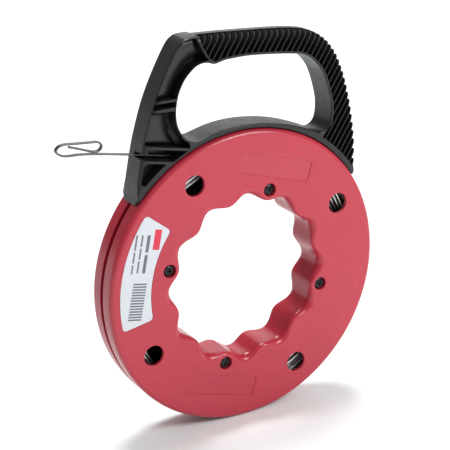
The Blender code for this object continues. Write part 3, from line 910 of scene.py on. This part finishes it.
def recess(outline, depth):
    """Cutter for a shallow recess in the front face."""
    loop = anticlockwise(outline)
    lip = RECESS_LIP
    rings = []
    for grow, rise in ((0.0, -depth), (0.0, -lip), (lip * 0.3, -lip * 0.3), (lip, 0.0), (lip, 1.0)):
        ring = inset(loop, -grow)
        rings.append(np.column_stack(
            [ring[:, 0], np.full(len(loop), -HALF_THICKNESS - rise), ring[:, 1]]))
    return loft("recess", rings, triangulate([loop]))


def case_piece(name, side, node):
    """One finished case half."""
    mesh = case_blank(side)
    tools = [lipped_hole(WINDOW_CIRCLE, WINDOW_ANGLE + 90.0 * k, WINDOW_RADIUS, WINDOW_DEPTH,
                         WINDOW_LIP, side) for k in range(4)]
    if side < 0:
        tools += [lipped_hole(SCREW_CIRCLE, SCREW_ANGLE + 90.0 * k, SEAT_RADIUS, SEAT_DEPTH,
                              SEAT_LIP, side) for k in range(4)]
        tools += [recess(panel_outline(SCREW_ANGLE + 180.0 * k), PANEL_DEPTH) for k in range(2)]
        tools.append(recess(label_outline(LABEL_MARGIN), LABEL_RECESS))
    mesh = boolean(mesh, join("case_tools", tools), "DIFFERENCE")
    # Faces of the hidden inner walls take the second material, the painted shade
    for polygon in mesh.polygons:
        u, y, w = polygon.center
        radius = math.hypot(u, w)
        hidden = SOLID_RADIUS - 0.1 < radius < REEL_RADIUS - WALL + 0.1
        polygon.material_index = int(hidden and abs(y) < HALF_THICKNESS - WALL + 0.1)
    finish_piece(name, mesh, [RED, INSIDE], "reel", node)


def screw_piece(number):
    """Cross-recess screw with a domed head, seated below the front face."""
    centre = polar(SCREW_CIRCLE, SCREW_ANGLE + 90.0 * (number - 1))
    top = -HALF_THICKNESS + SCREW_SINK
    profile = [(radius, top + depth) for radius, depth in SCREW_HEAD] + SCREW_SHANK
    head = turned(profile, centre, SCREW_STEPS)
    first = CROSS_ANGLE + CROSS_ANGLE_STEP * number
    for angle in (first, first + 90.0):
        along = np.array(polar(1.0, angle))
        rings = [[(u, top + depth, w) for u, w in rectangle(centre, along, length, width)]
                 for depth, length, width in CROSS_LEVELS]
        head = boolean(head, loft("cross", rings), "DIFFERENCE")
    finish_piece("cross_screw_%d" % number, head, [SCREW_STEEL], "reel",
                 "case_screw_%d" % number)


def label_frame():
    """Origin and two directions of the label's print: down its length, and inwards."""
    middle = (LABEL_START + LABEL_END) / 2.0
    origin = np.array(polar((LABEL_INNER + LABEL_OUTER) / 2.0, middle))
    turn = math.radians(LABEL_TILT)
    down = np.array([-math.sin(turn), -math.cos(turn)])
    inward = np.array([math.cos(turn), -math.sin(turn)])
    return origin, down, inward


def print_blocks():
    """Plain blocks printed on the label, as (from, to, low, high, ink) in its own frame."""
    blocks = [(*RED_BLOCK, RED_PRINT)]
    for low, high, bars in BAR_ROWS:
        blocks += [(first, last, low, high, GREY_PRINT) for first, last in bars]
    for k in range(STRIPE_COUNT):
        first = STRIPE_START + STRIPE_PITCH * k
        blocks.append((first, first + STRIPE_WIDTH, *STRIPE_SPAN, GREY_PRINT))
    return blocks


def label_piece():
    """Thin film plate whose front carries plain printed blocks."""
    outline = anticlockwise(label_outline(-LABEL_GAP))
    origin, down, inward = label_frame()
    loops = [outline]
    for first, last, low, high, _ in print_blocks():
        corners = ((first, low), (last, low), (last, high), (first, high))
        loops.append(np.array([origin + down * a + inward * b for a, b in corners]))
    flat = np.vstack(loops)
    count = len(flat)
    bottom = -HALF_THICKNESS + LABEL_RECESS - LABEL_GAP
    top = -HALF_THICKNESS + LABEL_RECESS - (LABEL_GAP + LABEL_FILM)
    points = [(u, top, w) for u, w in flat] + [(u, bottom, w) for u, w in outline]
    faces = triangulate(loops, area=[outline]) + bridge(0, count, len(outline))
    faces += [[count + v for v in face] for face in triangulate([outline])]
    mesh = make_mesh("label", points, faces)
    for polygon in mesh.polygons:
        u, y, w = polygon.center
        if y > top + 0.01:
            continue
        spot = np.array([u, w]) - origin
        a, b = spot @ down, spot @ inward
        for first, last, low, high, ink in print_blocks():
            if first < a < last and low < b < high:
                polygon.material_index = ink
    finish_piece("printed_label", mesh, [FILM, RED_INK, GREY_INK], "reel", "label")


# ---- tape

def ribbon(name, path, width):
    """Strip of tape with rounded edges along a path of (u, y, w) points, its width along y."""
    path = np.array(path, dtype=float)
    along = np.gradient(path, axis=0)
    along /= np.linalg.norm(along, axis=1)[:, None]
    ups = np.tile((0.0, 1.0, 0.0), (len(path), 1))
    ups -= (ups * along).sum(axis=1)[:, None] * along
    ups /= np.linalg.norm(ups, axis=1)[:, None]
    side = np.cross(along, ups)
    corner = TAPE_THICKNESS * TAPE_EDGE_ROUND
    half_w, half_t = width / 2.0, TAPE_THICKNESS / 2.0
    section = []
    for sign_w, sign_t in ((1, 1), (-1, 1), (-1, -1), (1, -1)):
        bend = [(half_w - corner * across, half_t - corner * down)
                for across, down in quarter_round(2)]
        if sign_w * sign_t < 0:
            bend = bend[::-1]
        section += [(sign_w * a, sign_t * b) for a, b in bend]
    return loft(name, [[place + up * a + across * b for a, b in section]
                       for place, up, across in zip(path, ups, side)])


def hooked_end():
    """Straight leading end of the tape with its bent hook, whose tail lies a little in front."""
    straight = [tape_point(along, 0.0) for along in STRAIGHT_PLACES]
    route = smooth_line(straight + HOOK_ROUTE + HOOK_TAIL, 8, False)
    line = resample(route, HOOK_SPACING, False)
    tail_start = len(line) - int(HOOK_TAIL_LENGTH / HOOK_SPACING)
    path = []
    for i, (u, w) in enumerate(line):
        sink = min(max((i - tail_start) / HOOK_TAIL_STEPS, 0.0), 1.0)
        path.append((u, -HOOK_TAIL_SINK * sink, w))
    mesh = ribbon("hooked_end", path, HOOK_WIDTH)
    finish_piece("hooked_tape_end", mesh, [HOOK_STEEL], "tape", "tape_end", sharp=50.0)


def wound_tape():
    """The wound tape: packed turns against the rim, and a few loose ones that cross the windows."""
    rng = random.Random(TAPE_SEED)
    packed = TAPE_TURNS - len(LOOSE_TURNS)
    radii = []
    depths = []
    for turn in range(TAPE_TURNS):
        for knot in range(TAPE_KNOTS):
            if turn < packed:
                radius = PACKED_RADIUS + PACKED_PITCH * (turn % PACKED_IN_LAYER)
                depth = PACKED_DEPTH - LAYER_PITCH * (turn // PACKED_IN_LAYER)
            else:
                loose = turn - packed
                radius = LOOSE_TURNS[loose][knot // 2] if knot % 2 else LOOSE_RADIUS
                depth = LOOSE_DEPTH - LOOSE_PITCH * loose
            radii.append(radius + rng.uniform(-RADIUS_SCATTER, RADIUS_SCATTER))
            depths.append(depth + rng.uniform(-DEPTH_SCATTER, DEPTH_SCATTER))
    path = []
    for i in range((TAPE_TURNS * TAPE_KNOTS - 1) * TAPE_STEPS // TAPE_KNOTS):
        place = i * TAPE_KNOTS / TAPE_STEPS
        k = int(place)
        t = place - k
        t = t * t * (3.0 - 2.0 * t)
        radius = radii[k] * (1 - t) + radii[k + 1] * t
        depth = depths[k] * (1 - t) + depths[k + 1] * t
        path.append(around(radius, TAPE_START_ANGLE + 360.0 * i / TAPE_STEPS, depth))
    mesh = ribbon("wound_tape", path, TAPE_WIDTH)
    finish_piece("wound_tape", mesh, [TAPE_STEEL], "reel", "tape_coil", sharp=50.0)


# ---- handle

CROWN = smooth_line(HANDLE_OUTSIDE, 10, False)
CROWN_LINE = np.array(CROWN)
SEAT = arc(SEAT_ARC_RADIUS, FOOT_LAST_ANGLE, FOOT_FIRST_ANGLE, 90)
OUTSIDE = anticlockwise(resample(CROWN + SEAT, 1.0, True))
OPENING = anticlockwise(resample(smooth_line(HAND_OPENING, 8, True), 1.0, True))


def ramp(value, first, last):
    """0 at first, 1 at last, clamped."""
    return np.clip((value - first) / (last - first), 0.0, 1.0)


def outer_round(loop):
    """Edge radius at each point: large over the grip, smaller at the left leg, none at the tips."""
    u, w = loop[:, 0], loop[:, 1]
    grip = LEG_ROUND + (GRIP_ROUND - LEG_ROUND) * ramp(u, *GRIP_FADE)
    foot = SEAT_ROUND + (LEG_ROUND - SEAT_ROUND) * ramp(w, *FOOT_FADE)
    side = np.where((u < 0) & (w < 100), foot, grip)
    seat = np.abs(np.hypot(u, w) - SEAT_ARC_RADIUS) < 0.3
    tips = [polar(SEAT_ARC_RADIUS, angle) for angle in (FOOT_FIRST_ANGLE, FOOT_LAST_ANGLE)]
    away = np.min([np.hypot(u - tip[0], w - tip[1]) for tip in tips], axis=0)
    return np.where(seat, SEAT_ROUND, side) * ramp(away, *TIP_FADE)


def opening_round(loop):
    """Edge radius of the hand opening: small beside the pockets' thin wall."""
    share = ramp(loop[:, 0], *OPENING_FADE)
    return THIN_WALL_ROUND + (OPENING_ROUND - THIN_WALL_ROUND) * share


def grip_surface(points):
    """Half thickness of the rounded grip at points in the plane."""
    depth = np.minimum(distance(points, CROWN_LINE, closed=False), GRIP_ROUND)
    return HANDLE_HALF - GRIP_ROUND + np.sqrt(GRIP_ROUND ** 2 - (GRIP_ROUND - depth) ** 2)


def quarter(value, reach):
    """Quarter-round rise from 0 to 1 over a reach."""
    t = np.clip(value / reach, 0.0, 1.0)
    return np.sqrt(np.maximum(1.0 - (1.0 - t) ** 2, 0.0))


def leg_side(low, high, depth, count):
    """Points up the left leg, a depth inside its outer edge."""
    line = CROWN_LINE[CROWN_LINE[:, 0] < LEG_END]
    order = np.argsort(line[:, 1])
    heights = np.linspace(low, high, count)
    edge = np.interp(heights, line[order, 1], line[order, 0])
    slope = np.gradient(edge, heights)
    return [(u + depth / math.cos(math.atan(s)), w) for u, w, s in zip(edge, heights, slope)]


def opening_side(low, high):
    """Points down the left side of the hand opening, a thin wall away from it."""
    wall = inset(OPENING, -OPENING_WALL)
    side = wall[(wall[:, 0] < OPENING_SIDE_END) & (wall[:, 1] > low) & (wall[:, 1] < high)]
    return [tuple(p) for p in side]


def grip_zone():
    """Outline of the slotted area, from just outside the crown to a strip at the opening."""
    middle_u, middle_w = GRIP_CENTRE
    strip = [tuple(p) for p in inset(OPENING, -GRIP_MARGIN)
             if p[0] > GRIP_STRIP_LEFT and p[1] > GRIP_STRIP_LOW
             and not (p[0] < GRIP_STRIP_RIGHT and p[1] < middle_w)]
    strip.sort(key=lambda p: math.atan2(p[1] - middle_w, p[0] - middle_u))
    grow_u, grow_w = GRIP_CROWN_GROWTH
    crown = [(u * grow_u, w * grow_w) for u, w in CROWN_LINE
             if u > GRIP_CROWN_LEFT and w > GRIP_CROWN_LOW]
    foot = arc(FOOT_BAND_RADIUS, *GRIP_FOOT_ARC, 16) + GRIP_FOOT_CORNER
    return np.array(foot + strip + GRIP_LEFT_EDGE + crown[::-1])


def pillow(bottom_line, top_line):
    """Floor of a leg pocket: high behind the outer wall, falling away to the hand opening."""
    def floor(points):
        """Half thickness at the points."""
        left = np.maximum(distance(points, CROWN_LINE, closed=False) - LEG_WALL, 0.0)
        right = np.where(inside(points, [OPENING]), 0.0, distance(points, OPENING))
        share = np.clip(left / (left + right) / POCKET_SHARE, 0.0, 1.0)
        rise = np.sqrt(1.0 - share ** 2)
        for line, least in ((bottom_line, POCKET_BOTTOM_LEFT), (top_line, POCKET_TOP_LEFT)):
            away = quarter(distance(points, line, closed=False), POCKET_END)
            rise = rise * (least + (1.0 - least) * away)
        return POCKET_FLOOR + POCKET_RISE * rise
    return floor


def flat_floor(height):
    """Flat floor of a recess."""
    return lambda points: np.full(len(points), height)


def level_line(height):
    """Level line across the left leg."""
    return np.array([(-90.0, height), (-50.0, height)])


def foot_pocket():
    """Outline of the triangular pocket in the left foot."""
    outline = [tape_point(*place) for place in FOOT_POCKET_TOP]
    outline += arc(FOOT_BAND_RADIUS, *FOOT_POCKET_ARC, 10)
    return outline + leg_side(*FOOT_POCKET_SIDE, FOOT_POCKET_WALL, 8)


def handle_wells():
    """Every recess in the handle, both sides."""
    upper_low = LEG_RIB_HIGH + LEG_RIB_HALF
    gap_low, gap_high = LEG_RIB_LOW + LEG_RIB_HALF, LEG_RIB_HIGH - LEG_RIB_HALF
    lower_high = LEG_RIB_LOW - LEG_RIB_HALF
    ledge_right, ledge_left = [tape_point(along, LEDGE_OFFSET) for along in LEDGE_PLACES]
    upper = leg_side(upper_low, UPPER_POCKET_HIGH[0], LEG_WALL, 18) + UPPER_POCKET_TOP
    upper += opening_side(upper_low, UPPER_POCKET_HIGH[1])
    gap = leg_side(gap_low, gap_high, LEG_WALL, 4) + opening_side(gap_low, gap_high)
    lower = [ledge_left] + leg_side(ledge_left[1] + 1.5, lower_high, LEG_WALL, 12)
    lower += opening_side(LOWER_POCKET_LOW, lower_high) + LOWER_POCKET_CORNER + [ledge_right]
    ledge = np.array([ledge_right, ledge_left])
    recesses = [(upper, pillow(level_line(upper_low), UPPER_POCKET_END), 1.0),
                (gap, flat_floor(POCKET_FLOOR), 1.0),
                (lower, pillow(ledge, level_line(lower_high)), 1.0),
                (foot_pocket(), flat_floor(FOOT_POCKET_FLOOR), 0.8),
                (grip_zone(), flat_floor(CORE_HALF), 1.2)]
    return join("handle_wells", [well(outline, floor, spacing, side)
                                 for side in (-1, 1) for outline, floor, spacing in recesses])


def tape_way():
    """Channel the tape runs in, and the slits through the leg's outer wall and to the rim."""
    tools = []
    for corners, span in ((CHANNEL, CHANNEL_SPAN), (MOUTH, CHANNEL_SPAN), (SLIT, SLIT_SPAN)):
        loop = anticlockwise([tape_point(*corner) for corner in corners])
        tools.append(loft("way", [[(u, y, w) for u, w in loop] for y in span]))
    return tools


def ribs():
    """Slanting ribs with round noses that follow the grip's rounded surface."""
    zone = grip_zone()
    direction = np.array(polar(1.0, RIB_ANGLE))
    fins = []
    for number in RIB_NUMBERS:
        start = np.array(RIB_START) + np.array([number * RIB_PITCH, 0.0])
        line = start + RIB_SEARCH[:, None] * direction
        within = inside(line, [zone]) & inside(line, [OUTSIDE])
        edges = np.flatnonzero(np.diff(within.astype(int)))
        for first, last in zip(edges[::2], edges[1::2]):
            if last - first < RIB_SHORTEST:
                continue
            low_depth, high_depth = distance(line[[first + 1, last]], CROWN_LINE, closed=False)
            low_end = RIB_INSET if low_depth < RIB_CROWN_DEPTH else -RIB_OVERLAP
            high_end = RIB_INSET if high_depth < RIB_CROWN_DEPTH else -RIB_OVERLAP
            lowest = RIB_SEARCH[first + 1] + low_end
            highest = RIB_SEARCH[last] - high_end
            places = np.arange(lowest, highest, RIB_SPACING)
            places = np.append(places[:-1], highest)
            path = start + places[:, None] * direction
            fronts = grip_surface(path) - RIB_DROP
            depth = distance(path, CROWN_LINE, closed=False)
            rears = np.minimum(fronts, CORE_HALF + RIB_REAR_START + RIB_REAR_SLOPE * depth)
            fins.append(fin(path, fronts, rears, RIB_THICKNESS))
    return join("ribs", fins)


def runner():
    """Curved T that runs in the groove between the case halves."""
    rings = []
    for i in range(RUNNER_STEPS + 1):
        angle = RUNNER_START + RUNNER_TURN * i / RUNNER_STEPS
        rings.append([around(radius, angle, y) for radius, y in RUNNER_SECTION])
    return loft("runner", rings)


def foot_corners():
    """Cutters that round the left foot into a tongue, seen from the rim."""
    outline = [(-3.0, HANDLE_HALF - FOOT_TIP_SIDE)]
    outline += [(FOOT_TIP_LENGTH * across, HANDLE_HALF - FOOT_TIP_SIDE * down)
                for across, down in quarter_round(12)]
    outline += [(FOOT_TIP_LENGTH, HANDLE_HALF + 2.0), (-3.0, HANDLE_HALF + 2.0)]
    cap = triangulate([np.array(outline)])
    end = FOOT_LAST_ANGLE + FOOT_TIP_OVERLAP
    tools = []
    for side in (-1, 1):
        rings = [[around(radius, end - math.degrees(along / SEAT_ARC_RADIUS), side * across)
                  for along, across in outline] for radius in FOOT_CUT_RADII]
        tools.append(loft("foot_corner", rings, cap))
    return join("foot_corners", tools)


def handle_piece():
    """The whole handle."""
    opening = OPENING[::-1]
    body = plate("handle", [OUTSIDE, opening], [outer_round(OUTSIDE), opening_round(opening)], 7)
    body = boolean(body, handle_wells(), "DIFFERENCE")
    body = boolean(body, foot_corners(), "DIFFERENCE")
    for tool in tape_way():
        body = boolean(body, tool, "DIFFERENCE")
    body = boolean(body, ribs(), "UNION")
    body = boolean(body, runner(), "UNION")
    finish_piece("grip_handle", body, [BLACK], "handle", "handle", sharp=38.0)


# ---- stage

def pale_floor():
    """Wide matte floor."""
    bpy.ops.mesh.primitive_plane_add(size=FLOOR_SIZE, location=(0.0, 0.0, 0.0))
    floor = bpy.context.object
    floor.name = "studio_floor"
    material, tree, shader = new_material("pale_floor", 0.9)
    paint(tree, shader, noise(tree, 3.0, 2.0), PALE_FLOOR)
    floor.data.materials.append(material)


def aim(lamp, direction):
    """Turn a lamp to shine in a direction."""
    lamp.rotation_euler = direction.to_track_quat("-Z", "Y").to_euler()


def soft_light():
    """White surroundings, a wide sun from above and two soft boxes."""
    world = bpy.data.worlds.new("studio")
    world.use_nodes = True
    background = world.node_tree.nodes["Background"]
    background.inputs["Color"].default_value = (1.0, 1.0, 1.0, 1.0)
    background.inputs["Strength"].default_value = WORLD_STRENGTH
    bpy.context.scene.world = world

    sun = bpy.data.lights.new("overhead", "SUN")
    sun.energy = SUN_STRENGTH
    sun.angle = math.radians(SUN_ANGLE)
    aim(add_object("overhead", sun), Vector(SUN_DIRECTION))
    for name, place, target, size, power in SOFT_BOXES:
        light = bpy.data.lights.new(name, "AREA")
        light.size = size
        light.energy = power
        lamp = add_object(name, light)
        lamp.location = place
        aim(lamp, Vector(target) - Vector(place))


def photo_camera():
    """Camera from the front left, a little above."""
    camera = bpy.data.cameras.new("camera")
    camera.lens = CAMERA_LENS
    camera.sensor_width = 36.0
    camera.clip_end = 50.0
    eye = add_object("camera", camera)
    eye.location = CAMERA_PLACE
    eye.rotation_euler = (math.radians(CAMERA_TILT), 0.0, math.radians(CAMERA_TURN))
    bpy.context.scene.camera = eye
    bpy.context.scene.view_settings.view_transform = "Standard"


pale_floor()
soft_light()
photo_camera()
case_piece("front_case", -1, "front_shell")
case_piece("rear_case", 1, "rear_shell")
for screw_number in (1, 2, 3, 4):
    screw_piece(screw_number)
label_piece()
hooked_end()
wound_tape()
handle_piece()
